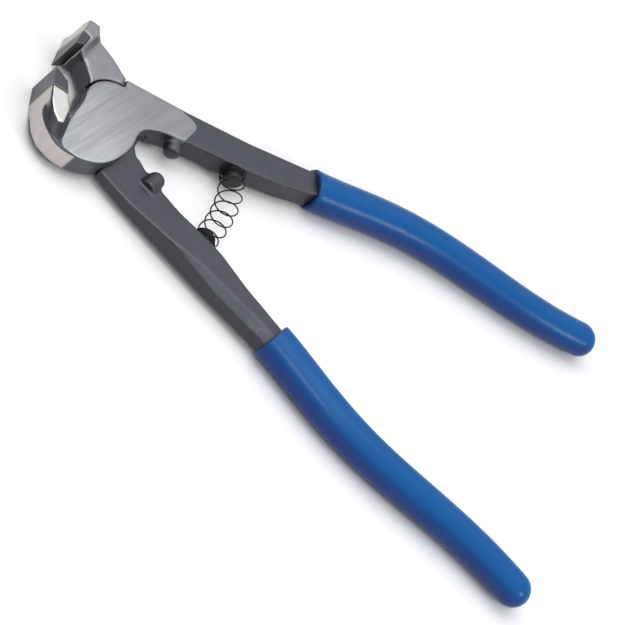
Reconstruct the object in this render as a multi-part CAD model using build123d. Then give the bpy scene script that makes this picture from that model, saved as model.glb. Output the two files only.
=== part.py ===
from build123d import *
import math
import os

# Tile nippers, lying flat and fully open.
# Modelled from the pivot: +Z is its axis, towards the ground (bright) face of the front arm, and
# +Y points to the jaws.  The handles spread to -X (rear arm) and +X (front arm).  The finished
# parts are then moved along Y, so that the origin is the middle of the open tool.

# Driving dimensions, mm
pivot_height = 81.6       # pivot above the middle of the open tool, along Y
arm_half = 3.8            # half thickness of the forged arms
lap_gap = 0.05            # each lap face stands this far off the lap plane
plate_radius = 12.5       # front arm's lap plate, struck about the pivot
neck_recess_radius = 12.8  # recess for the plate in the neck of the rear arm
disc_radius = 13.0        # rear arm's lap disc
crotch_radius = 10.6      # the same disc where it shows between the handles
jaw_recess_radius = 13.3  # recess for the disc in the back of the front arm
shoulder_angle = 8.0      # radial face of the front arm's shoulder, from +X
shoulder_gap = 0.8        # degrees between the shoulders when fully open
throat_angle = 70.8       # where the neck of the rear arm ends, at the throat
jaw_half = 6.7            # half width of the jaws, along the pivot axis
closing_angle = 30.5      # turn of the rear arm from open to closed
tip_radius = 25.6         # cutting edges from the pivot
front_tip_angle = 6.0     # cutting edge of the front arm, from +Y towards -X
tip_gap = 0.25            # gap left between the cutting edges when closed
insert_length = 7.0       # carbide insert, back from the cutting edge
shim_thickness = 0.25     # braze shim behind each insert
rivet_radius = 4.0
rivet_head_radius = 6.0
rivet_head_depth = 1.8
rivet_clearance = 0.05    # in the rear arm, which turns on the rivet
stop_radius = 22.8        # stop bosses from the pivot
stop_half = 3.0           # radius of a stop boss
front_stop_angle = 11.4   # face of the front stop boss, from -Y towards +X
stop_gap = 0.10           # gap left between the stop bosses when closed
stop_round = 1.1
spring_radius = 4.1       # mean radius of the coil
spring_wire = 0.48
dead_turns = 2            # closed coils at each end
live_turns = 6
spring_reach = 36.0       # how hard the axis is pulled square to its seats; about its length
spring_standoff = 0.6     # centre of the end coil from its seat
coil_pitch = 1.06         # pitch of the closed coils over the wire
stud_radius = 3.3
stud_length = 4.0         # stands this far off the arm
stud_depth = 2.5          # blind hole in the arm
shank_radius = 2.0
stud_round = 0.6
grip_half_start = 7.0     # half width of the vinyl grip at its collar
grip_half_end = 6.1       # half width near its rounded end
grip_flat = 0.93          # grip thickness over grip width
grip_end = 0.97           # fractions of the handle's centre-line
front_collar = 0.0
rear_collar = 0.045
tang_half_start = 4.3
tang_half_end = 3.3
tang_flat = 0.85
tang_end = 0.88           # fraction of the handle's centre-line


def turned(point, degrees):
    """Point of the lap plane, turned about the pivot."""
    angle = math.radians(degrees)
    x, y = point
    return (x * math.cos(angle) - y * math.sin(angle), x * math.sin(angle) + y * math.cos(angle))


def slab(face, low, high):
    """Prism on a face of the XY plane, from height low to height high."""
    return extrude(Pos(0, 0, low) * face, amount=high - low, dir=(0, 0, 1))


def disc(radius, low, high):
    return Pos(0, 0, (low + high) / 2) * Cylinder(radius, high - low)


def sector(start, end, radius, low, high):
    """Prism on a circular sector between two angles measured from +X."""
    steps = [start + (end - start) * step / 6 for step in range(7)]
    arc = [(radius * math.cos(math.radians(a)), radius * math.sin(math.radians(a))) for a in steps]
    return slab(make_face(Polyline((0, 0), *arc, close=True)), low, high)


def flare(foot, crest, low, high):
    """Solid that runs from polygon foot at height low to polygon crest at height high."""
    lower = Pos(0, 0, low) * make_face(Polyline(*foot, close=True))
    upper = Pos(0, 0, high) * make_face(Polyline(*crest, close=True))
    return loft([lower, upper], ruled=True)


def widened(foot, front_crest, back_crest):
    """Jaw that widens from the arm's thickness to the jaw's width, above and below."""
    core = slab(make_face(Polyline(*foot, close=True)), -arm_half, arm_half)
    upper = flare(foot, front_crest, arm_half, jaw_half)
    lower = flare(back_crest, foot, -jaw_half, -arm_half)
    return core + upper + lower


def rim_nearest(solid, point):
    """Circular edge of a solid that lies nearest a point."""
    return solid.edges().filter_by(GeomType.CIRCLE).sort_by_distance(point)[0]


# ------------------------------------------------------------------ handles
def handle_path(side):
    """Centre-line of a handle from the collar of the grip to its end, an open S."""
    points = [
        (32.7, -70.4), (41.4, -94.0), (48.4, -118.5),
        (51.2, -144.0), (54.0, -167.0), (58.6, -186.0),
    ]
    ends = [(side * 0.36, -0.93), (side * 0.26, -0.96)]
    return Spline(*[(side * x, y) for x, y in points], tangents=ends)


def handle_bar(side, start_half, end_half, flat, start, end):
    """Tapered oval bar with a rounded end along the handle's centre-line."""
    path = handle_path(side)
    sections = []
    for step in range(6):
        station = start + (end - start) * step / 5
        half = start_half + (end_half - start_half) * station
        place = Plane(origin=path @ station, x_dir=(0, 0, 1), z_dir=path % station)
        sections.append(place * Ellipse(half * flat, half))
    tip = path @ end
    half = start_half + (end_half - start_half) * end
    cap = Pos(tip.X, tip.Y, 0) * scale(Sphere(half), by=(1, 1, flat))
    return loft(sections) + cap


def stop_boss(face_angle, side):
    """Peg whose flat end lies on a radial plane, face_angle from -Y towards the handle."""
    angle = math.radians(face_angle)
    centre = (side * stop_radius * math.sin(angle), -stop_radius * math.cos(angle), 0)
    inward = (side * math.cos(angle), math.sin(angle), 0)
    place = Plane(origin=centre, x_dir=(0, 0, 1), z_dir=inward)
    peg = extrude(place * Circle(stop_half), amount=8)
    return fillet(rim_nearest(peg, centre), stop_round)


# Centre of the spring seats, on the inner edge of each arm
rear_seat = (-19.2, -42.3)
front_seat = (16.0, -43.6)
rear_seat_normal = (0.958, -0.287)
front_seat_normal = (-0.962, -0.274)


def seat_plane(seat, normal, shift):
    origin = (seat[0] + normal[0] * shift, seat[1] + normal[1] * shift, 0)
    return Plane(origin=origin, x_dir=(0, 0, 1), z_dir=(normal[0], normal[1], 0))


def stud(seat, normal):
    """Pin that centres one end of the spring, pressed into the arm."""
    foot = seat_plane(seat, normal, -stud_depth) * Circle(shank_radius)
    head = extrude(seat_plane(seat, normal, 0) * Circle(stud_radius), amount=stud_length)
    top = seat_plane(seat, normal, stud_length).origin
    return extrude(foot, amount=stud_depth + 1) + fillet(rim_nearest(head, top), stud_round)


# ------------------------------------------------------------------ rivet
def rivet(grow=0.0):
    """Rivet with a countersunk head on each face, ground flush; grow gives its clearance space."""
    shank = disc(rivet_radius + grow, -arm_half, arm_half)
    cone = Cone(rivet_radius + grow, rivet_head_radius + grow, rivet_head_depth + grow)
    head = Pos(0, 0, arm_half - (rivet_head_depth + grow) / 2) * cone
    return shank + head + mirror(head, about=Plane.XY)


# ------------------------------------------------------------------ jaws
front_tip = turned((0, tip_radius), front_tip_angle)
rear_tip_angle = front_tip_angle - closing_angle - math.degrees(tip_gap / tip_radius)
rear_tip = turned((0, tip_radius), rear_tip_angle)

# Side views of each jaw bar: crests at the jaw's width, the foot at the arm's thickness
front_heel = (-5.2, 20.2)        # lower corner of the insert's front face
front_crest = [
    front_tip, (-10.0, 24.1), (-15.3, 22.6), (-19.0, 20.6),
    (-21.4, 17.8), (-20.2, 15.9), (-14.6, 16.0), front_heel,
]
front_foot = [
    front_tip, (-10.0, 24.1), (-16.5, 23.0), (-22.5, 20.6),
    (-26.0, 17.4), (-26.2, 14.2), (-14.9, 13.9), front_heel,
]
front_along = (-0.995, -0.10)    # from the cutting edge back along the bar
rear_heel = (12.8, 20.6)
rear_crest = [rear_tip, (24.2, 21.9), (24.4, 18.1), (20.4, 17.2), rear_heel]
rear_back_crest = [rear_tip, (24.6, 23.3), (25.4, 19.0), (20.8, 17.4), rear_heel]
rear_foot = [rear_tip, (24.4, 22.4), (25.0, 17.6), (22.6, 15.2), (10.8, 17.8)]
rear_along = (0.99, -0.10)
front_ledge = ((-5.2, 20.0), (-14.6, 15.7))  # the insert seats outside this line
rear_ledge = ((11.0, 20.6), (20.4, 19.2))


def insert_span(tip, along, low, high):
    """Block across a jaw between two distances back from its cutting edge."""
    place = Plane(origin=(tip[0], tip[1], 0), x_dir=(along[0], along[1], 0), z_dir=(0, 0, 1))
    return place * (Pos((low + high) / 2, 0, 0) * Box(high - low, 16, 4 * jaw_half))


def insert_seat(tip, along, heel, root):
    """Space in the steel for the insert and its braze, outside the line heel to root."""
    ahead = tuple(heel[i] - (root[i] - heel[i]) for i in (0, 1))
    beyond = [(x, y + 14) for x, y in (root, ahead)]
    zone = make_face(Polyline(ahead, root, *beyond, close=True))
    outside = slab(zone, -2 * jaw_half, 2 * jaw_half)
    return outside & insert_span(tip, along, -5, insert_length + shim_thickness)


def jaw_parts(tip, along, foot, crest, back_crest, ledge):
    """Steel bar, its seat for the insert, braze shim and carbide insert of one jaw."""
    seat = insert_seat(tip, along, *ledge)
    bar = flare(back_crest, crest, -jaw_half, jaw_half) & seat
    shim = bar & insert_span(tip, along, insert_length, insert_length + shim_thickness)
    insert = bar & insert_span(tip, along, -5, insert_length)
    return widened(foot, crest, back_crest), seat, shim, insert


# ------------------------------------------------------------------ front arm
def front_outline():
    shoulder = turned((15.8, 0), shoulder_angle)
    plate_start = turned((plate_radius, 0), shoulder_angle)
    plate_middle = turned((plate_radius, 0), 52)
    plate_end = turned((plate_radius, 0), throat_angle + closing_angle + 2)
    rim = ThreePointArc(plate_start, plate_middle, plate_end)
    throat = Polyline(plate_end, (-8.0, 12.75), (-14.9, 13.9), (-15.5, 17.0), (-16.5, 23.0))
    hook = Spline(
        (-16.5, 23.0), (-23.2, 20.4), (-27.2, 13.6), (-26.2, 5.8), (-21.4, -1.8), (-12.6, -6.8),
        (-5.8, -8.5), (-0.6, -8.8), (2.6, -10.4), (5.2, -13.6), (6.8, -16.5),
    )
    inner = Spline((6.8, -16.5), (9.7, -24.0), (15.2, -41.0), (17.9, -49.5))
    handle = Polyline(
        (17.9, -49.5), (22.3, -60.5), (29.7, -74.7), (32.9, -82.0),
        (40.5, -79.0), (37.4, -71.3), (27.7, -43.5), (21.0, -20.0), shoulder, plate_start,
    )
    return make_face([rim, *throat.edges(), hook, inner, *handle.edges()])


def make_front_arm(jaw_bar, seat):
    arm = slab(front_outline(), -arm_half, arm_half)
    # lap: the back half is cut away over the rear arm's disc, and on beyond it where that arm leaves
    arm -= disc(jaw_recess_radius, -arm_half - 1, lap_gap)
    arm -= sector(188, 286, 30, -arm_half - 1, lap_gap)
    arm += jaw_bar
    arm += handle_bar(1, tang_half_start, tang_half_end, tang_flat, 0, tang_end)
    arm += stop_boss(front_stop_angle, 1)
    arm -= seat
    arm -= rivet()
    arm -= stud(front_seat, front_seat_normal)
    return arm


# ------------------------------------------------------------------ rear arm
def rear_outline():
    neck_foot = turned((neck_recess_radius, 0), shoulder_angle + shoulder_gap)
    shoulder = turned((16.0, 0), shoulder_angle + shoulder_gap)
    neck = Spline(shoulder, (19.5, 8.6), (22.4, 15.6), tangents=[(0.40, 0.92), (0.45, 0.89)])
    head = Polyline((22.4, 15.6), (22.0, 19.0), (13.0, 20.0), (11.6, 18.6))
    throat = Spline((11.6, 18.6), (8.6, 15.6), (4.4, 12.6), tangents=[(-0.5, -0.85), (-0.9, -0.45)])
    heel_angle = 180 + shoulder_angle + shoulder_gap
    rim = ThreePointArc((4.4, 12.6), turned((disc_radius, 0), 150), turned((disc_radius, 0), heel_angle))
    outer = Polyline(
        turned((disc_radius, 0), heel_angle), turned((20.9, 0), heel_angle),
        (-25.0, -15.8), (-29.3, -32.0), (-34.3, -51.0), (-38.3, -71.0), (-41.0, -78.8),
        (-33.6, -82.0), (-31.0, -74.4), (-26.3, -60.5), (-21.2, -49.0),
    )
    inner = Spline(
        (-21.2, -49.0), (-18.6, -40.0), (-14.8, -29.0), (-10.6, -22.0), (-7.6, -16.0), (-5.2, -11.9),
        tangents=[(0.30, 0.95), (0.5, 0.86)],
    )
    return neck_foot, shoulder, neck, head, throat, rim, outer, inner


def rear_face():
    neck_foot, shoulder, neck, head, throat, rim, outer, inner = rear_outline()
    back = Polyline((-5.2, -11.9), (-1.5, -9.8), (0, 0), neck_foot, shoulder)
    return make_face([neck, *head.edges(), throat, rim, *outer.edges(), inner, *back.edges()])


def face_slope():
    """Space above the rear arm's front face, which climbs from the lap to full thickness."""
    slope = Spline((14, 0), (26, 0.9), (40, 2.9), (54, arm_half), tangents=[(1, 0.02), (1, 0.02)])
    back = Polyline((54, arm_half), (54, 8), (-40, 8), (-40, -lap_gap), (14, -lap_gap), (14, 0))
    down_handle = Plane(origin=(0, 0, 0), x_dir=(-0.34, -0.94, 0), z_dir=(-0.94, 0.34, 0))
    return extrude(down_handle * make_face([slope, *back.edges()]), amount=40, both=True)


def edge_bevel():
    """Wedge that bevels the outer front edge of the rear arm, wider towards the grip."""
    inward = (0.965, -0.262)
    stations = [                # point on the edge, width across the face, height where the bevel ends
        ((-26.0, -18.5), 0.2, 3.2),
        ((-33.9, -47.6), 3.0, 0.8),
        ((-37.4, -65.0), 3.4, 0.4),
        ((-40.8, -78.0), 3.6, 0.2),
    ]
    wedges = []
    for (x, y), width, height in stations:
        rise = (6 - height) / (arm_half - height) * width
        across = Plane(origin=(x, y, 0), x_dir=(*inward, 0), z_dir=(inward[1], -inward[0], 0))
        wedge = Polyline((0, height), (rise, 6), (-2, 6), (-2, height), close=True)
        wedges.append(across * make_face(wedge))
    return loft(wedges, ruled=True)


def make_rear_arm(jaw_bar, seat):
    face = rear_face()
    low = slab(face, -arm_half, -lap_gap) + disc(crotch_radius, -arm_half, -lap_gap)
    low += sector(-72, 200, disc_radius, -arm_half, -lap_gap) & disc(disc_radius, -arm_half, -lap_gap)
    neck_span = sector(shoulder_angle + shoulder_gap, throat_angle, 40, -arm_half, arm_half)
    neck = slab(face, -arm_half, arm_half) & neck_span
    neck -= disc(neck_recess_radius, -lap_gap, arm_half + 1)
    handle = (slab(face, -arm_half, arm_half) & sector(188, 262, 120, -arm_half, arm_half)) - face_slope()
    arm = low + neck + handle + jaw_bar
    arm -= edge_bevel()
    arm += handle_bar(-1, tang_half_start, tang_half_end, tang_flat, 0, tang_end)
    arm += stop_boss(closing_angle - front_stop_angle + math.degrees(stop_gap / stop_radius), -1)
    arm -= seat
    arm -= rivet(rivet_clearance)
    arm -= stud(rear_seat, rear_seat_normal)
    return arm


# ------------------------------------------------------------------ return spring
def spring_axis(t):
    """Point and direction at parameter t along the bowed axis, square to both seats."""
    first = [rear_seat[i] + spring_standoff * rear_seat_normal[i] for i in (0, 1)]
    last = [front_seat[i] + spring_standoff * front_seat_normal[i] for i in (0, 1)]
    point, slope = [], []
    for i in (0, 1):
        out = spring_reach * rear_seat_normal[i]
        back = -spring_reach * front_seat_normal[i]
        a = 2 * first[i] - 2 * last[i] + out + back
        b = -3 * first[i] + 3 * last[i] - 2 * out - back
        point.append(((a * t + b) * t + out) * t + first[i])
        slope.append((3 * a * t + 2 * b) * t + out)
    return Vector(*point, 0), Vector(*slope, 0).normalized()


def make_spring():
    """Round wire coiled on the bowed axis, with closed coils at both ends."""
    turns = 2 * dead_turns + live_turns
    dead = dead_turns * spring_wire * coil_pitch / spring_reach
    steps = 12
    points = []
    for step in range(turns * steps + 1):
        turn = step / steps
        live = min(max((turn - dead_turns) / live_turns, 0), 1)
        ends = min(turn, dead_turns) + max(turn - dead_turns - live_turns, 0)
        centre, along = spring_axis(dead * ends / dead_turns + (1 - 2 * dead) * live)
        angle = 2 * math.pi * turn
        side = Vector(0, 0, 1).cross(along) * (spring_radius * math.cos(angle))
        rise = Vector(0, 0, spring_radius * math.sin(angle))
        points.append(centre + side + rise)
    wire = Spline(*points)
    section = Plane(origin=wire @ 0, z_dir=wire % 0) * Circle(spring_wire / 2)
    return sweep(section, path=wire, is_frenet=True)


def make_grip(side, arm, collar):
    """Dipped vinyl sleeve over the tang, closed and rounded at the end of the handle."""
    return handle_bar(side, grip_half_start, grip_half_end, grip_flat, collar, grip_end) - arm


front_bar, front_insert_seat, front_shim, front_insert = jaw_parts(
    front_tip, front_along, front_foot, front_crest, front_crest, front_ledge
)
rear_bar, rear_insert_seat, rear_shim, rear_insert = jaw_parts(
    rear_tip, rear_along, rear_foot, rear_crest, rear_back_crest, rear_ledge
)
front_arm = make_front_arm(front_bar, front_insert_seat)
rear_arm = make_rear_arm(rear_bar, rear_insert_seat)
parts = {
    "front_arm": front_arm,
    "rear_arm": rear_arm,
    "pivot_rivet": rivet(),
    "front_braze_shim": front_shim,
    "rear_braze_shim": rear_shim,
    "front_carbide_tip": front_insert,
    "rear_carbide_tip": rear_insert,
    "front_spring_stud": stud(front_seat, front_seat_normal),
    "rear_spring_stud": stud(rear_seat, rear_seat_normal),
    "return_spring": make_spring(),
    "front_grip": make_grip(1, front_arm, front_collar),
    "rear_grip": make_grip(-1, rear_arm, rear_collar),
}
os.makedirs("parts", exist_ok=True)
for name, shape in parts.items():
    print(name, round(shape.volume, 1), len(shape.solids()), shape.is_valid)
    export_step(Pos(0, pivot_height, 0) * shape, f"parts/{name}.step")
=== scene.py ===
import math

import bmesh
import bpy
import numpy as np
from mathutils import Matrix, Vector


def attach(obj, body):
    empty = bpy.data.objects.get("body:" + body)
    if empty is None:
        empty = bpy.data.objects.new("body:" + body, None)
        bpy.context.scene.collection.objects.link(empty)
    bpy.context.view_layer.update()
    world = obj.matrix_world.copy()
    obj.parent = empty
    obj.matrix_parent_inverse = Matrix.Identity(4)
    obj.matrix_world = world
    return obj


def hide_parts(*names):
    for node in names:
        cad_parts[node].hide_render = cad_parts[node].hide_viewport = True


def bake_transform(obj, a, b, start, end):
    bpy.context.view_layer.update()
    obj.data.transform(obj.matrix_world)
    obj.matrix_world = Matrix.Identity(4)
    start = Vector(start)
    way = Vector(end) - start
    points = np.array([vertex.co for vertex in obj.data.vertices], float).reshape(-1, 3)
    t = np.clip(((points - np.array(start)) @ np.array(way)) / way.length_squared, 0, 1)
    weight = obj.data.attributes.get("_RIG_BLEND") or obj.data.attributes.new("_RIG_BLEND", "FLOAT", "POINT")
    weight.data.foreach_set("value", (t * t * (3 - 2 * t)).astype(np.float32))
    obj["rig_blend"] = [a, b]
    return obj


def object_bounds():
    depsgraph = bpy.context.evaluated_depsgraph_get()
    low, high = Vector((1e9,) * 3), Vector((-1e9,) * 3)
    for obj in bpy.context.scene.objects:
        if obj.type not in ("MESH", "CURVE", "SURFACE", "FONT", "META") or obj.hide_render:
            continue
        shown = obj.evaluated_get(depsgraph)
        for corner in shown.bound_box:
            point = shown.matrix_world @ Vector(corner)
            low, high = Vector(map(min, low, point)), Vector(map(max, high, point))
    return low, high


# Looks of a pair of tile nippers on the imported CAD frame, whose origin is the middle of the open tool.
# The pivot axis is +Z, the jaws are towards +Y, and the bright plate of the front arm faces up.
# Blender works in metres. Places on the tool are given in mm from the pivot.

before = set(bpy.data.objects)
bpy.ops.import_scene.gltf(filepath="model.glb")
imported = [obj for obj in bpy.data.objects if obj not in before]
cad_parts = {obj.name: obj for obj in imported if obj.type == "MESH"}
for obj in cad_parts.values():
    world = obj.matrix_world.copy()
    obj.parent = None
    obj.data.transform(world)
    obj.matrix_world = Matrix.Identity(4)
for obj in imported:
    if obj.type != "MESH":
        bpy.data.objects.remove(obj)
cad_low, cad_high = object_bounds()

MM = 0.001
PIVOT = Vector((0, 81.6, 0)) * MM
ARM_HALF = 3.8                    # half thickness of the arms, mm
JAW_HALF = 6.7                    # half width of the jaws, mm
FRONT_BOSS = (5.6, -22.4, 0)      # stop bosses
REAR_BOSS = (-9.0, -21.5, 0)
BOSS_REACH = 7.5                  # softening fades out this far from a boss, mm
SCOOP = (-20.0, 14.0, 5.0)        # hollow behind the hooked jaw
THROAT = (12.0, 17.0, 2.0)        # foot of the straight jaw
HOLLOW_REACH = 9.0                # softening fades out this far from the scoop and the throat, mm
THROAT_SHARE = 0.8                # how much the throat is softened beside the boss
SOFT_PASSES = 28
ARM_VOXEL = 0.00032               # remeshing grid of each kind of piece, m
RIVET_VOXEL = 0.00025
STUD_VOXEL = 0.00022
GRIP_VOXEL = 0.0005
ARM_SMOOTHING = 12                # smoothing passes after remeshing
GRIP_SMOOTHING = 6
FINE_SMOOTHING = 3
ABSENT = -2.0                     # value of a zone on an arm that does not have it
STREAK_TURN = math.radians(-23.3)    # direction of the grinding marks on the plate, from +X


# ------------------------------------------------------------------ node helpers
class Shader:
    """Small helper that adds and links shader nodes of one material."""

    def __init__(self, name):
        self.material = bpy.data.materials.new(name)
        self.material.use_nodes = True
        self.tree = self.material.node_tree
        self.surface = self.tree.nodes["Principled BSDF"]
        self.place = self.tree.nodes.new("ShaderNodeTexCoord").outputs["Object"]

    def link(self, source, target):
        """Sets an input from a number, a color or another node's output."""
        if isinstance(source, (int, float)):
            target.default_value = source
        elif isinstance(source, tuple):
            target.default_value = (*source, 1.0)
        else:
            self.tree.links.new(source, target)

    def noise(self, scale, detail=3.0, roughness=0.5, stretch=(1, 1, 1), turn=0.0):
        """Noise with scale in features per metre, turned about Z and drawn out by stretch."""
        mapping = self.tree.nodes.new("ShaderNodeMapping")
        mapping.vector_type = "TEXTURE"
        mapping.inputs["Rotation"].default_value = (0, 0, turn)
        mapping.inputs["Scale"].default_value = stretch
        self.link(self.place, mapping.inputs["Vector"])
        node = self.tree.nodes.new("ShaderNodeTexNoise")
        self.link(mapping.outputs["Vector"], node.inputs["Vector"])
        node.inputs["Scale"].default_value = scale
        node.inputs["Detail"].default_value = detail
        node.inputs["Roughness"].default_value = roughness
        return node.outputs["Fac"]

    def ramp(self, value, low, high, new_low=0.0, new_high=1.0):
        """Smooth step of a value between low and high."""
        node = self.tree.nodes.new("ShaderNodeMapRange")
        node.interpolation_type = "SMOOTHSTEP"
        self.link(value, node.inputs["Value"])
        node.inputs["From Min"].default_value = low
        node.inputs["From Max"].default_value = high
        node.inputs["To Min"].default_value = new_low
        node.inputs["To Max"].default_value = new_high
        return node.outputs["Result"]

    def mix(self, share, first, second):
        """Color between first and second."""
        node = self.tree.nodes.new("ShaderNodeMix")
        node.data_type = "RGBA"
        self.link(share, node.inputs["Factor"])
        self.link(first, node.inputs["A"])
        self.link(second, node.inputs["B"])
        return node.outputs["Result"]

    def blend(self, share, first, second):
        """Number between first and second."""
        node = self.tree.nodes.new("ShaderNodeMix")
        self.link(share, node.inputs["Factor"])
        self.link(first, node.inputs["A"])
        self.link(second, node.inputs["B"])
        return node.outputs["Result"]

    def attribute(self, name):
        node = self.tree.nodes.new("ShaderNodeAttribute")
        node.attribute_name = name
        return node.outputs["Fac"]

    def bump(self, height, strength, distance, under=None):
        """Normal for relief of a height in metres, on top of another normal."""
        node = self.tree.nodes.new("ShaderNodeBump")
        self.link(height, node.inputs["Height"])
        self.link(strength, node.inputs["Strength"])
        node.inputs["Distance"].default_value = distance
        if under is not None:
            self.link(under, node.inputs["Normal"])
        return node.outputs["Normal"]

    def finish(self, color, rough, metal, normal=None, **extra):
        """Fills in the surface; extra inputs are named with underscores for spaces."""
        self.link(color, self.surface.inputs["Base Color"])
        self.link(rough, self.surface.inputs["Roughness"])
        self.link(metal, self.surface.inputs["Metallic"])
        if normal is not None:
            self.link(normal, self.surface.inputs["Normal"])
        for name, value in extra.items():
            self.link(value, self.surface.inputs[name.replace("_", " ")])
        return self.material


# ------------------------------------------------------------------ materials
def oxide_color(s, mottle):
    """Black oxide, painted paler on the faces as lit and darker on the walls as painted shade, worn in spots
    and along edges.
    """
    worn_steel, edge_steel = (0.19, 0.19, 0.20), (0.30, 0.31, 0.33)
    # Painted light: the facing share picks the lit face tone or the painted shade of the walls; the mottle
    # is the oxide's own.
    face = s.ramp(s.attribute("face"), 0.15, 0.85)
    shaded_wall_tone = s.mix(mottle, (0.042, 0.042, 0.050), (0.064, 0.064, 0.074))
    lit_face_tone = s.mix(mottle, (0.072, 0.077, 0.090), (0.100, 0.105, 0.120))
    oxide = s.mix(face, shaded_wall_tone, lit_face_tone)
    worn = s.ramp(s.noise(620, 5, 0.62), 0.50, 0.75)
    oxide = s.mix(s.ramp(worn, 0.0, 1.0, 0.0, 0.14), oxide, worn_steel)
    edge = s.ramp(s.attribute("edge"), 0.25, 0.85)
    return s.mix(s.ramp(edge, 0, 1, 0, 0.55), oxide, edge_steel)


def plate_color(s, streak):
    """Ground steel with fine and broad streaks, with painted shade darkening it towards the handle as its
    reflected sheen fades.
    """
    bright_streak, painted_shade_grey = (0.62, 0.63, 0.65), (0.25, 0.25, 0.275)
    broad = s.noise(230, 3, 0.6, (9, 1, 1), STREAK_TURN)
    plate = s.mix(s.ramp(streak, 0.3, 0.7), (0.40, 0.41, 0.43), (0.56, 0.57, 0.59))
    plate = s.mix(s.ramp(broad, 0.40, 0.62, 0, 0.35), plate, bright_streak)
    return s.mix(s.ramp(s.attribute("sheen_fade"), 0.05, 1.0, 0.0, 0.62), plate, painted_shade_grey)


def arm_material():
    """Black oxide forging with ground, polished and satin zones picked by vertex attributes."""
    s = Shader("arm_steel")
    mottle = s.noise(260, 4, 0.6)
    grain = s.noise(2600, 2, 0.6)
    streak = s.noise(1100, 4, 0.65, (30, 1, 1), STREAK_TURN)
    oxide = oxide_color(s, mottle)
    plate = plate_color(s, streak)
    beige_noise = s.noise(500, 5, 0.6, (1, 1, 3))
    beige = s.mix(beige_noise, (0.42, 0.375, 0.36), (0.60, 0.545, 0.53))
    bright = s.mix(s.noise(1500, 3, 0.5, (1, 8, 1)), (0.62, 0.61, 0.59), (0.80, 0.79, 0.76))
    neck = s.mix(mottle, (0.27, 0.265, 0.285), (0.37, 0.36, 0.385))

    patch = s.ramp(s.attribute("patch"), -0.12, 0.12)
    sanded = s.ramp(s.attribute("sanded"), -0.5, 0.5)
    polished = s.ramp(s.attribute("polished"), -0.15, 0.15)
    satin = s.ramp(s.attribute("satin"), -0.8, 0.8)
    color = s.mix(satin, oxide, neck)
    color = s.mix(sanded, color, beige)
    color = s.mix(polished, color, bright)
    color = s.mix(patch, color, plate)

    rough = s.ramp(mottle, 0.3, 0.7, 0.36, 0.50)
    rough = s.blend(satin, rough, 0.42)
    rough = s.blend(sanded, rough, 0.40)
    rough = s.blend(polished, rough, 0.26)
    rough = s.blend(patch, rough, s.ramp(streak, 0.3, 0.7, 0.30, 0.42))
    metal = s.blend(satin, 0.75, 0.9)
    metal = s.blend(sanded, metal, 0.8)
    metal = s.blend(patch, metal, 1.0)

    normal = s.bump(grain, s.blend(patch, 0.35, 0.0), 0.00006)
    normal = s.bump(mottle, s.blend(patch, 0.5, 0.0), 0.00025, normal)
    normal = s.bump(streak, s.blend(patch, 0.0, 0.10), 0.00002, normal)
    return s.finish(color, rough, metal, normal)


def carbide_material():
    """Fine-grained carbide with marks from its grinding."""
    s = Shader("ground_carbide")
    grain = s.noise(1800, 4, 0.6)
    mark = s.noise(1200, 3, 0.5, (1, 1, 12))
    color = s.mix(grain, (0.075, 0.075, 0.084), (0.125, 0.125, 0.138))
    return s.finish(color, s.ramp(mark, 0.3, 0.7, 0.34, 0.48), 0.85, s.bump(mark, 0.12, 0.00003))


def braze_material():
    """Thin yellowish line of silver braze."""
    s = Shader("silver_braze")
    grain = s.noise(1500, 4, 0.6)
    color = s.mix(grain, (0.26, 0.22, 0.14), (0.44, 0.38, 0.25))
    return s.finish(color, 0.38, 0.9, s.bump(grain, 0.3, 0.00004))


def plain_steel(name, light, rough):
    """Grainy steel of one tone, for pins, wire and the rivet."""
    s = Shader(name)
    grain = s.noise(1400, 4, 0.6)
    dark = tuple(0.6 * c for c in light)
    wear = s.ramp(grain, 0.35, 0.65, rough - 0.06, rough + 0.08)
    return s.finish(s.mix(grain, dark, light), wear, 0.8, s.bump(grain, 0.2, 0.00003))


def vinyl_material():
    """Dipped vinyl: a soft even gloss over a slightly uneven skin, with painted light on the faces turned up
    and painted shade on the sides.
    """
    s = Shader("dipped_vinyl")
    depth = s.noise(90, 3, 0.5)
    # Painted light: lit and shaded copies of the blue, mixed by facing; the depth noise is the dip's own
    # uneven tone.
    lit = s.mix(depth, (0.0008, 0.078, 0.262), (0.0012, 0.090, 0.296))
    shaded = s.mix(depth, (0.0035, 0.030, 0.150), (0.0045, 0.036, 0.170))
    color = s.mix(s.ramp(s.attribute("face"), 0.1, 0.95), shaded, lit)
    wave = s.noise(70, 2, 0.5)
    skin = s.noise(1100, 3, 0.55)
    normal = s.bump(skin, 0.06, 0.00008, s.bump(wave, 0.25, 0.0006))
    rough = s.ramp(skin, 0.35, 0.65, 0.29, 0.36)
    return s.finish(color, rough, 0.0, normal, Specular_IOR_Level=0.20, Coat_Weight=0.06)


# ------------------------------------------------------------------ mesh helpers
def new_object(name, mesh, material, body, node):
    """Puts a mesh in the scene as the piece that stands for one CAD node; a blended piece has no body."""
    piece = bpy.data.objects.new(name, mesh)
    bpy.context.scene.collection.objects.link(piece)
    mesh.materials.clear()
    mesh.materials.append(material)
    for polygon in mesh.polygons:
        polygon.use_smooth = True
    if body is not None:
        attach(piece, body)
    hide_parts(node)
    return piece


def welded(node):
    """Copy of a CAD node's mesh with its split vertices joined."""
    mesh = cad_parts[node].data.copy()
    work = bmesh.new()
    work.from_mesh(mesh)
    bmesh.ops.remove_doubles(work, verts=work.verts, dist=0.000002)
    bmesh.ops.recalc_face_normals(work, faces=work.faces)
    work.to_mesh(mesh)
    work.free()
    for name in [a.name for a in mesh.attributes if not a.is_internal and not a.is_required]:
        mesh.attributes.remove(mesh.attributes[name])
    return mesh


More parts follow.
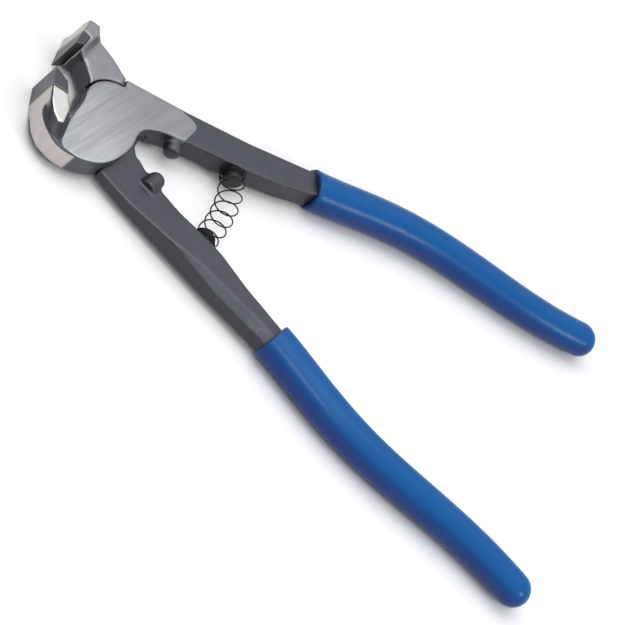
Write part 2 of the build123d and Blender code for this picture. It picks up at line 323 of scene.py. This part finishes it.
def evaluated(mesh, *modifiers):
    """Mesh after the given modifiers, each a (type, settings) pair."""
    carrier = bpy.data.objects.new("carrier", mesh)
    bpy.context.scene.collection.objects.link(carrier)
    for kind, settings in modifiers:
        modifier = carrier.modifiers.new(kind, kind)
        for key, value in settings.items():
            setattr(modifier, key, value)
    graph = bpy.context.evaluated_depsgraph_get()
    result = bpy.data.meshes.new_from_object(carrier.evaluated_get(graph))
    bpy.data.objects.remove(carrier)
    return result


def forged(mesh, voxel, smoothing):
    """Closed even mesh whose edges are rounded by about one voxel."""
    return evaluated(
        mesh,
        ("REMESH", {"mode": "VOXEL", "voxel_size": voxel, "adaptivity": 0.0}),
        ("SMOOTH", {"factor": 0.5, "iterations": smoothing}),
    )


def edge_ends(mesh):
    """Indices of the vertices at the two ends of every edge."""
    pairs = np.zeros(len(mesh.edges) * 2, np.int64)
    mesh.edges.foreach_get("vertices", pairs)
    return pairs.reshape(-1, 2).T


def soften(mesh, share, passes):
    """Smooths vertices by their neighbours, each by its own share from 0 to 1."""
    step_size = 0.6
    count = len(mesh.vertices)
    first, second = edge_ends(mesh)
    degree = (np.bincount(first, minlength=count) + np.bincount(second, minlength=count))[:, None]
    flat = np.zeros(count * 3)
    mesh.vertices.foreach_get("co", flat)
    place = flat.reshape(-1, 3)
    for _ in range(passes):
        total = np.zeros_like(place)
        for axis in range(3):
            total[:, axis] = np.bincount(first, place[second, axis], count)
            total[:, axis] += np.bincount(second, place[first, axis], count)
        place = place + (total / degree - place) * step_size * share[:, None]
    mesh.vertices.foreach_set("co", place.ravel())
    mesh.update()


def near(place, centre, radius):
    """1 within a third of the radius, falling to 0 at the radius."""
    gap = np.linalg.norm(place - np.array(centre), axis=1) / radius
    return np.clip(1.5 - 1.5 * gap, 0, 1)


def read(mesh, attribute="co"):
    """Vertex positions in mm from the pivot, or vertex normals."""
    flat = np.zeros(len(mesh.vertices) * 3)
    if attribute == "co":
        mesh.vertices.foreach_get("co", flat)
        return (flat.reshape(-1, 3) - np.array(PIVOT)) / MM
    mesh.vertex_normals.foreach_get("vector", flat)
    return flat.reshape(-1, 3)


def store(mesh, name, values):
    """Keeps one number per vertex for the materials to read."""
    attribute = mesh.attributes.new(name, "FLOAT", "POINT")
    attribute.data.foreach_set("value", np.asarray(values, np.float32))


def rounded(first, second, radius):
    """Depth inside two edges that meet in a rounded corner."""
    return radius - np.hypot(np.maximum(radius - first, 0), np.maximum(radius - second, 0))


def edge_wear(mesh):
    """How convex the surface is at each vertex, 0 to 1, for worn corners."""
    gain = 3.0
    ends = edge_ends(mesh)
    place, normal = read(mesh), read(mesh, "normal")
    bend = np.zeros(len(place))
    degree = np.zeros(len(place))
    for here, there in (ends, ends[::-1]):
        step = place[there] - place[here]
        length = np.linalg.norm(step, axis=1) + 1e-9
        drop = -np.einsum("ij,ij->i", step, normal[here]) / length
        np.add.at(bend, here, drop)
        np.add.at(degree, here, 1)
    return np.clip(bend / np.maximum(degree, 1) * gain, 0, 1)


# ------------------------------------------------------------------ arms
def half_plane(points, through, towards):
    """Depth on one side of a line in the plane of the tool."""
    direction = np.array(towards, float) / np.hypot(*towards)
    return (points[:, :2] - through) @ direction


def above(values, limit, sharpness):
    """Positive where values are over a limit."""
    return (values - limit) * sharpness


def below(values, limit, sharpness):
    """Positive where values are under a limit."""
    return (limit - values) * sharpness


def plate_zone(place, normal):
    """Bright ground plate: the front face between the handle and the hooked jaw."""
    slack = 0.35          # how far from the arm's face the ground surface may lie, mm
    facing_up = above(normal[:, 2], 0.8, 4)
    level = np.minimum(
        above(place[:, 2], ARM_HALF - slack, 2),
        below(place[:, 2], ARM_HALF + slack, 2),
    )
    handle_end = rounded(
        half_plane(place, (11.4, -23.8), (0.27, 0.96)),
        half_plane(place, (19.9, -18.2), (-0.96, 0.10)),
        3.0,
    )
    jaw_end = rounded(
        half_plane(place, (-15.5, 13.5), (0.02, -1.0)),
        half_plane(place, (-26.4, 9.0), (1.0, 0.05)),
        2.5,
    )
    return np.minimum(np.minimum(facing_up, level), np.minimum(handle_end, jaw_end))


def sanded_zone(place, normal):
    """Belt-sanded outside of the hooked jaw, which drops to a low band towards the handle."""
    jaw_side = half_plane(place, (-26.5, 7.5), (-0.35, 0.94))
    wall = below(np.abs(normal[:, 2]), 0.30, 5)
    outward = normal[:, 0] * -0.80 + normal[:, 1] * 0.60
    zone = np.minimum(np.minimum(jaw_side, wall), above(outward, 0.2, 5))
    band_height, hook_rise, hook_start, rise_length = 1.2, 7.0, 5.0, 5.0
    rise = hook_rise * np.clip((place[:, 1] - hook_start) / rise_length, 0, 1)
    return np.minimum(zone, band_height + rise - place[:, 2])


def front_facing_light(place, normal):
    """Painted light share: 1 on faces, as lit, and 0 on walls, as painted shade; the scoop gets painted
    shade and the wall under the hook is painted pale, as lit.
    """
    scooped = (place[:, 2] > ARM_HALF + 0.2) & (place[:, 2] < JAW_HALF - 0.3)
    painted_light_under_hook = np.clip(0.5 - 2 * normal[:, 1], 0, 0.8) * (place[:, 0] < -6)
    return np.where(scooped, 0.0, np.maximum(painted_light_under_hook, normal[:, 2]))


def front_arm_piece(steel):
    """Forging of the front arm. Each zone attribute is positive inside its zone."""
    mesh = forged(filled_front(), ARM_VOXEL, ARM_SMOOTHING)
    place = read(mesh)
    scoop = near(place, SCOOP, HOLLOW_REACH) * (place[:, 2] < JAW_HALF - 0.5)
    soften(mesh, np.maximum(near(place, FRONT_BOSS, BOSS_REACH), scoop), SOFT_PASSES)
    place, normal = read(mesh), read(mesh, "normal")
    store(mesh, "patch", plate_zone(place, normal))
    store(mesh, "sanded", sanded_zone(place, normal))
    jaw_top = above(place[:, 2], JAW_HALF - 0.4, 2)
    store(mesh, "polished", np.minimum(above(normal[:, 2], 0.9, 8), jaw_top))
    store(mesh, "satin", np.full(len(place), ABSENT))
    store(mesh, "edge", edge_wear(mesh))
    # Painted light and painted shade by facing, read by the oxide's colour.
    store(mesh, "face", front_facing_light(place, normal))
    # Painted light: the plate's sheen fades along the grinding direction, giving painted shade towards the
    # handle.
    plate_start, plate_length = -22.0, 36.0
    along = half_plane(place, (0, 0), (math.cos(STREAK_TURN), math.sin(STREAK_TURN)))
    store(mesh, "sheen_fade", np.clip((along - plate_start) / plate_length, 0, 1))
    return new_object("front_arm_forging", mesh, steel, "front_half", "front_arm")


def filled_front():
    """Front arm and rivet as one mesh, so that remeshing leaves no seam on the plate."""
    arm, rivet = welded("front_arm"), welded("pivot_rivet")
    work = bmesh.new()
    work.from_mesh(arm)
    work.from_mesh(rivet)
    merged = bpy.data.meshes.new("front_filled")
    work.to_mesh(merged)
    work.free()
    return merged


def rear_arm_piece(steel):
    """Forging of the rear arm, with a satin neck and a sanded top on its jaw."""
    mesh = forged(welded("rear_arm"), ARM_VOXEL, ARM_SMOOTHING)
    place = read(mesh)
    throat = near(place, THROAT, HOLLOW_REACH) * (place[:, 2] > 0.8)
    soften(mesh, np.maximum(near(place, REAR_BOSS, BOSS_REACH), THROAT_SHARE * throat), SOFT_PASSES)
    place, normal = read(mesh), read(mesh, "normal")
    front_face = np.minimum(above(normal[:, 2], 0.7, 4), above(place[:, 2], 2.0, 2))
    neck = np.minimum(front_face, half_plane(place, (10, 4.0), (0.2, 1.0)))
    head = np.minimum(above(normal[:, 1], 0.55, 5), half_plane(place, (0, 18.5), (0, 1)))
    store(mesh, "satin", neck)
    store(mesh, "sanded", head)
    store(mesh, "patch", np.full(len(place), ABSENT))
    store(mesh, "polished", np.full(len(place), ABSENT))
    store(mesh, "edge", edge_wear(mesh))
    # Painted light: faces turned up get the lit oxide, walls the painted shade.
    store(mesh, "face", normal[:, 2])
    return new_object("rear_arm_forging", mesh, steel, "rear_half", "rear_arm")


# ------------------------------------------------------------------ small pieces
def small_piece(name, node, body, material, voxel, smoothing):
    """Piece with rounded edges."""
    mesh = forged(welded(node), voxel, smoothing)
    # Painted light by facing, which the grip's vinyl reads as lit and shaded tones.
    store(mesh, "face", read(mesh, "normal")[:, 2])
    return new_object(name, mesh, material, body, node)


def ground_piece(name, node, body, material):
    """Crisp ground piece with a hair of bevel on its edges."""
    flatten = {"decimate_type": "DISSOLVE", "angle_limit": math.radians(2)}
    bevel = {"width": 0.00010, "segments": 2, "limit_method": "ANGLE", "harden_normals": True}
    mesh = evaluated(welded(node), ("DECIMATE", flatten), ("BEVEL", bevel))
    return new_object(name, mesh, material, body, node)


def rivet_piece(material):
    """The rivet; its front head lies inside the ground plate."""
    cover = 0.25          # depth of the head under the plate's surface, mm
    mesh = forged(welded("pivot_rivet"), RIVET_VOXEL, FINE_SMOOTHING)
    for vertex in mesh.vertices:
        vertex.co.z = min(vertex.co.z, (ARM_HALF - cover) * MM)
    return new_object("rivet", mesh, material, "front_half", "pivot_rivet")


# ------------------------------------------------------------------ return spring
SPRING_RADIUS, WIRE = 4.1, 0.48     # mean coil radius and wire diameter, mm
DEAD_TURNS, LIVE_TURNS = 2, 6       # closed coils at each end, and open coils between them
DEAD_PITCH = 1.06                   # pitch of the closed coils over the wire
REACH = 36.0                        # how hard the axis is pulled square to its seats, mm
STANDOFF = 0.6                      # centre of the end coil from its seat, mm
TURN_STEPS, WIRE_SIDES = 40, 12     # points in a turn and round the wire
REAR_SEAT, REAR_FACING = np.array((-19.2, -42.3)), np.array((0.958, -0.287))
FRONT_SEAT, FRONT_FACING = np.array((16.0, -43.6)), np.array((-0.962, -0.274))


def spring_axis(t):
    """Point and unit direction on the bowed axis, at a share t of it."""
    first = REAR_SEAT + STANDOFF * REAR_FACING
    last = FRONT_SEAT + STANDOFF * FRONT_FACING
    out, back = REACH * REAR_FACING, -REACH * FRONT_FACING
    a = 2 * first - 2 * last + out + back
    b = -3 * first + 3 * last - 2 * out - back
    slope = (3 * a * t + 2 * b) * t + out
    return ((a * t + b) * t + out) * t + first, slope / np.hypot(*slope)


def coil_points():
    """Points along the middle of the wire, from the rear seat to the front one."""
    turns = 2 * DEAD_TURNS + LIVE_TURNS
    dead = DEAD_TURNS * WIRE * DEAD_PITCH / REACH
    points = []
    for step in range(turns * TURN_STEPS + 1):
        turn = step / TURN_STEPS
        live = min(max((turn - DEAD_TURNS) / LIVE_TURNS, 0), 1)
        ends = min(turn, DEAD_TURNS) + max(turn - DEAD_TURNS - LIVE_TURNS, 0)
        centre, along = spring_axis(dead * ends / DEAD_TURNS + (1 - 2 * dead) * live)
        angle = 2 * math.pi * turn
        across = SPRING_RADIUS * math.cos(angle)
        x = centre[0] - along[1] * across
        y = centre[1] + along[0] * across
        points.append(Vector((x, y, SPRING_RADIUS * math.sin(angle))))
    return points


def wire_mesh(points):
    """Closed round tube along points."""
    work = bmesh.new()
    rings = []
    for index, point in enumerate(points):
        before, after = points[max(index - 1, 0)], points[min(index + 1, len(points) - 1)]
        along = (after - before).normalized()
        first = along.cross(Vector((0, 0, 1))).normalized()
        second = along.cross(first)
        ring = []
        for side in range(WIRE_SIDES):
            angle = 2 * math.pi * side / WIRE_SIDES
            offset = first * math.cos(angle) + second * math.sin(angle)
            ring.append(work.verts.new(PIVOT + (point + offset * WIRE / 2) * MM))
        rings.append(ring)
    for lower, upper in zip(rings, rings[1:]):
        for side in range(WIRE_SIDES):
            beyond = (side + 1) % WIRE_SIDES
            work.faces.new((lower[side], lower[beyond], upper[beyond], upper[side]))
    work.faces.new(reversed(rings[0]))
    work.faces.new(rings[-1])
    bmesh.ops.recalc_face_normals(work, faces=work.faces)
    mesh = bpy.data.meshes.new("spring_coil")
    work.to_mesh(mesh)
    work.free()
    return mesh


def spring_piece(material):
    """Return spring, whose ends ride on the two arms."""
    mesh = wire_mesh(coil_points())
    piece = new_object("spring_coil", mesh, material, None, "return_spring")
    start = PIVOT + Vector((*FRONT_SEAT, 0)) * MM
    end = PIVOT + Vector((*REAR_SEAT, 0)) * MM
    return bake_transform(piece, "front_half", "rear_half", start=start, end=end)


# ------------------------------------------------------------------ stage
def camera():
    """Camera of the main picture; returns its upward and backward directions."""
    tilt = math.radians(50)             # from the pivot axis
    roll = math.radians(36.87)
    heading = math.radians(66.7)        # round the pivot axis, from -Y
    distance = 1.0
    field_width = 192.3 * MM            # width seen at the pivot's distance
    sensor_width = 36                   # mm
    aim_right, aim_down = 61.8 * MM, 58.8 * MM      # middle of the picture from the pivot
    away = Vector((math.sin(heading), -math.cos(heading), 0))
    across = Vector((-math.cos(heading), -math.sin(heading), 0))
    axis = Vector((0, 0, 1))
    flat = away * math.cos(tilt) + axis * math.sin(tilt)
    right = flat * math.cos(roll) + across * math.sin(roll)
    upward = flat * math.sin(roll) - across * math.cos(roll)
    back = axis * math.cos(tilt) - away * math.sin(tilt)
    data = bpy.data.cameras.new("camera")
    data.sensor_width = sensor_width
    data.lens = sensor_width * distance / field_width
    data.clip_start, data.clip_end = 0.05, 20
    view = bpy.data.objects.new("camera", data)
    bpy.context.scene.collection.objects.link(view)
    place = PIVOT + right * aim_right - upward * aim_down + back * distance
    turn = Matrix((right, upward, back)).transposed().to_4x4()
    view.matrix_world = Matrix.Translation(place) @ turn
    bpy.context.scene.camera = view
    return upward, back


def softbox(name, direction, size, power):
    """Area light, in metres and watts, that looks at the middle of the tool."""
    reach = 0.9
    data = bpy.data.lights.new(name, "AREA")
    data.shape = "RECTANGLE"
    data.size, data.size_y = size
    data.energy = power
    light = bpy.data.objects.new(name, data)
    bpy.context.scene.collection.objects.link(light)
    direction = Vector(direction).normalized()
    light.location = direction * reach
    light.rotation_mode = "QUATERNION"
    light.rotation_quaternion = direction.to_track_quat("Z", "Y")


def floor():
    """Plain pale sheet just under the tool."""
    reach, gap = 6.0, 0.00002
    s = Shader("pale_floor")
    speck = s.noise(40, 3, 0.5)
    material = s.finish(s.mix(speck, (0.86, 0.86, 0.86), (0.89, 0.89, 0.89)), 0.7, 0.0)
    mesh = bpy.data.meshes.new("floor")
    around = [(-1, -1), (1, -1), (1, 1), (-1, 1)]
    corners = [(reach * x, reach * y, cad_low.z - gap) for x, y in around]
    mesh.from_pydata(corners, [], [(0, 1, 2, 3)])
    mesh.materials.append(material)
    sheet = bpy.data.objects.new("floor", mesh)
    bpy.context.scene.collection.objects.link(sheet)


def lighting(upward, back):
    """Even white surroundings and five softboxes."""
    world = bpy.data.worlds.new("studio")
    bpy.context.scene.world = world
    world.use_nodes = True
    sky = world.node_tree.nodes["Background"].inputs
    sky["Color"].default_value = (0.95, 0.97, 1.0, 1)
    sky["Strength"].default_value = 0.60
    mirror = Vector((-back.x, -back.y, back.z))     # where the plate's reflection looks
    softbox("plate_light", mirror + Vector((0, 0, 0.25)), (0.6, 0.4), 0.35)
    softbox("top_light", (0.1, 0.2, 1.0), (0.9, 0.9), 4.2)
    softbox("front_light", back + upward * 0.9, (0.5, 0.3), 0.6)
    softbox("right_ridge_light", (-0.41, -0.73, 0.56), (0.22, 0.22), 1.6)
    softbox("left_ridge_light", (-0.61, 0.20, 0.77), (0.22, 0.22), 1.2)
    settings = bpy.context.scene.view_settings
    settings.view_transform = "Standard"
    settings.look = "None"


# ------------------------------------------------------------------ build
steel = arm_material()
carbide = carbide_material()
braze = braze_material()
stud_steel = plain_steel("stud_steel", (0.045, 0.045, 0.05), 0.42)
wire_steel = plain_steel("spring_wire", (0.018, 0.018, 0.02), 0.34)
rivet_steel = plain_steel("rivet_steel", (0.42, 0.42, 0.44), 0.36)
vinyl = vinyl_material()

front_arm_piece(steel)
rear_arm_piece(steel)
rivet_piece(rivet_steel)
for half in ("front", "rear"):
    body = f"{half}_half"
    ground_piece(f"{half}_insert", f"{half}_carbide_tip", body, carbide)
    ground_piece(f"{half}_braze", f"{half}_braze_shim", body, braze)
    stud, sleeve = f"{half}_stud", f"{half}_sleeve"
    small_piece(stud, f"{half}_spring_stud", body, stud_steel, STUD_VOXEL, FINE_SMOOTHING)
    small_piece(sleeve, f"{half}_grip", body, vinyl, GRIP_VOXEL, GRIP_SMOOTHING)
spring_piece(wire_steel)

floor()
upward, back = camera()
lighting(upward, back)
